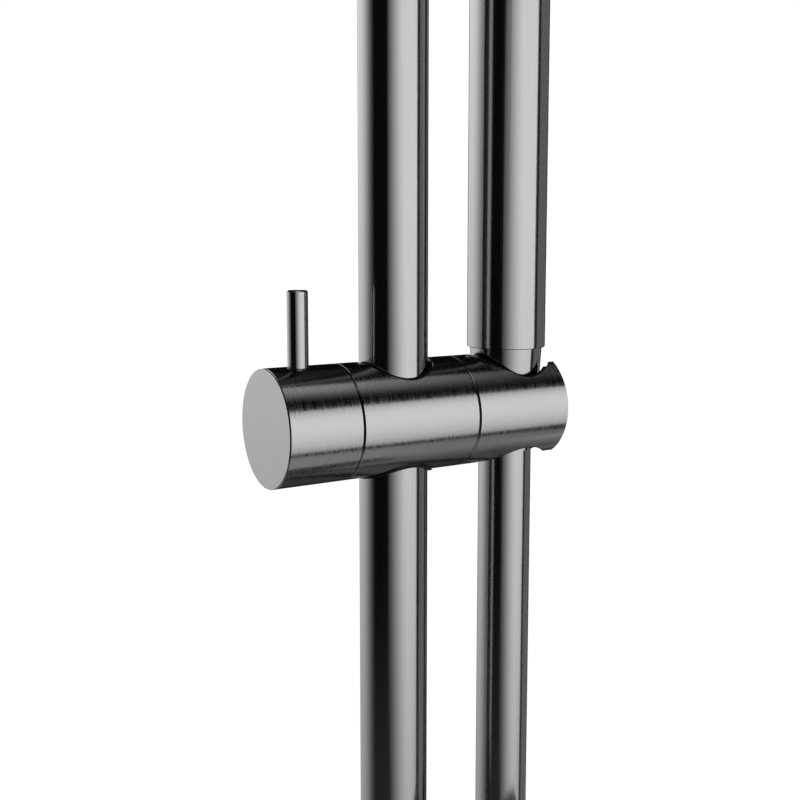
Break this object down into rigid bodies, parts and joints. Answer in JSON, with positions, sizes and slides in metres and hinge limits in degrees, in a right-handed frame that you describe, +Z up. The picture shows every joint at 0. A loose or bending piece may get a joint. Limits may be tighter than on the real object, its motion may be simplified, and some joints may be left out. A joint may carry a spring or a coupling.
{
  "type": "shower slide rail",
  "caption": "Wall-mounted round slide rail with a cylindrical slider, lever knob, swivelling conical holder, stick hand shower and smooth hose.",
  "frame": {"origin": "midway between the two wall fixing holes, on the wall plane", "axes": "+X from the knob to the handset holder, +Y into the wall, +Z up along the rail"},
  "size_m": [0.1434, 0.1382, 0.75],
  "materials": {
    "rail_metal": "gun-metal grey, fine brushing along the tube",
    "bracket_metal": "gun-metal grey, fine brushing",
    "slider_metal": "gun-metal grey, brushed round the cylinder",
    "lever_metal": "gun-metal grey, turned",
    "handset_metal": "gun-metal grey, fine brushing along the tube",
    "nut_metal": "gun-metal grey, turned",
    "dark_bush": "moulded, satin",
    "pale_acetal": "moulded, smooth",
    "screw_steel": "bright screw steel",
    "cast_block": "die-cast, light tumble finish",
    "brass": "turned",
    "seal_rubber": "moulded, matt",
    "spray_plate": "satin grey",
    "nozzle_silicone": "soft silicone, matt",
    "inner_plastic": "moulded, white",
    "hose_skin": "smooth metallic grey skin",
    "strap": "soft black strap"
  },
  "bodies": {
    "rail": {"rail_tube": "rail_metal", "rail_cap_upper": "rail_metal", "rail_cap_lower": "rail_metal", "end_block_upper": "cast_block", "end_block_lower": "cast_block", "clamp_screw_upper": "screw_steel", "clamp_screw_lower": "screw_steel", "wall_post_upper": "bracket_metal", "wall_post_lower": "bracket_metal", "wall_boss_upper": "cast_block", "wall_boss_lower": "cast_block", "post_screw_upper": "screw_steel", "post_screw_lower": "screw_steel", "wall_flange_upper": "bracket_metal", "wall_flange_lower": "bracket_metal"},
    "guide": {"glide_ring_upper": "pale_acetal", "glide_ring_lower": "pale_acetal"},
    "slider": {"slider_body": "slider_metal", "guide_bush": "dark_bush", "snap_ring": "screw_steel", "knob_oring": "seal_rubber", "axle_screw": "screw_steel", "friction_washer": "pale_acetal", "disc_spring": "screw_steel", "hose_drop": "hose_skin", "hose_hank": "hose_skin", "hose_tail": "hose_skin", "hose_strap_left": "strap", "hose_strap_right": "strap", "end_nut": "nut_metal", "end_stem": "brass", "end_washer": "seal_rubber"},
    "knob": {"knob": "slider_metal", "lever_pin": "lever_metal"},
    "brake": {"clamp_plunger": "brass", "brake_pad": "pale_acetal"},
    "holder": {"holder_shell": "slider_metal", "holder_liner": "dark_bush", "handset_barrel": "handset_metal", "handset_cap": "handset_metal", "spray_plate": "spray_plate", "nozzle_mat": "nozzle_silicone", "spray_core": "inner_plastic", "water_tube": "inner_plastic", "handset_inlet": "inner_plastic", "check_valve": "inner_plastic", "hose_nut": "nut_metal", "hose_stem": "brass", "hose_washer": "seal_rubber", "hose_neck": "hose_skin"}
  },
  "joints": [
    {"name": "height_slide", "type": "slide", "parent": "rail", "child": "guide", "axis": [0, 0, 1], "range_m": [-0.423, 0.203]},
    {"name": "slider_swivel", "type": "hinge", "parent": "guide", "child": "slider", "pos_m": [0, -0.06, 0.11], "axis": [0, 0, 1], "range_deg": [-45, 45]},
    {"name": "knob_turn", "type": "hinge", "parent": "slider", "child": "knob", "pos_m": [0, -0.06, 0.11], "axis": [1, 0, 0], "range_deg": [-90, 0]},
    {"name": "brake_press", "type": "slide", "parent": "slider", "child": "brake", "axis": [1, 0, 0], "range_m": [-0.00032, 0]},
    {"name": "holder_tilt", "type": "hinge", "parent": "slider", "child": "holder", "pos_m": [0, -0.06, 0.11], "axis": [1, 0, 0], "range_deg": [-5, 45]}
  ],
  "couplings": [
    {"joint": "brake_press", "follows": "knob_turn", "m_per_rad": 0.00019894}
  ]
}
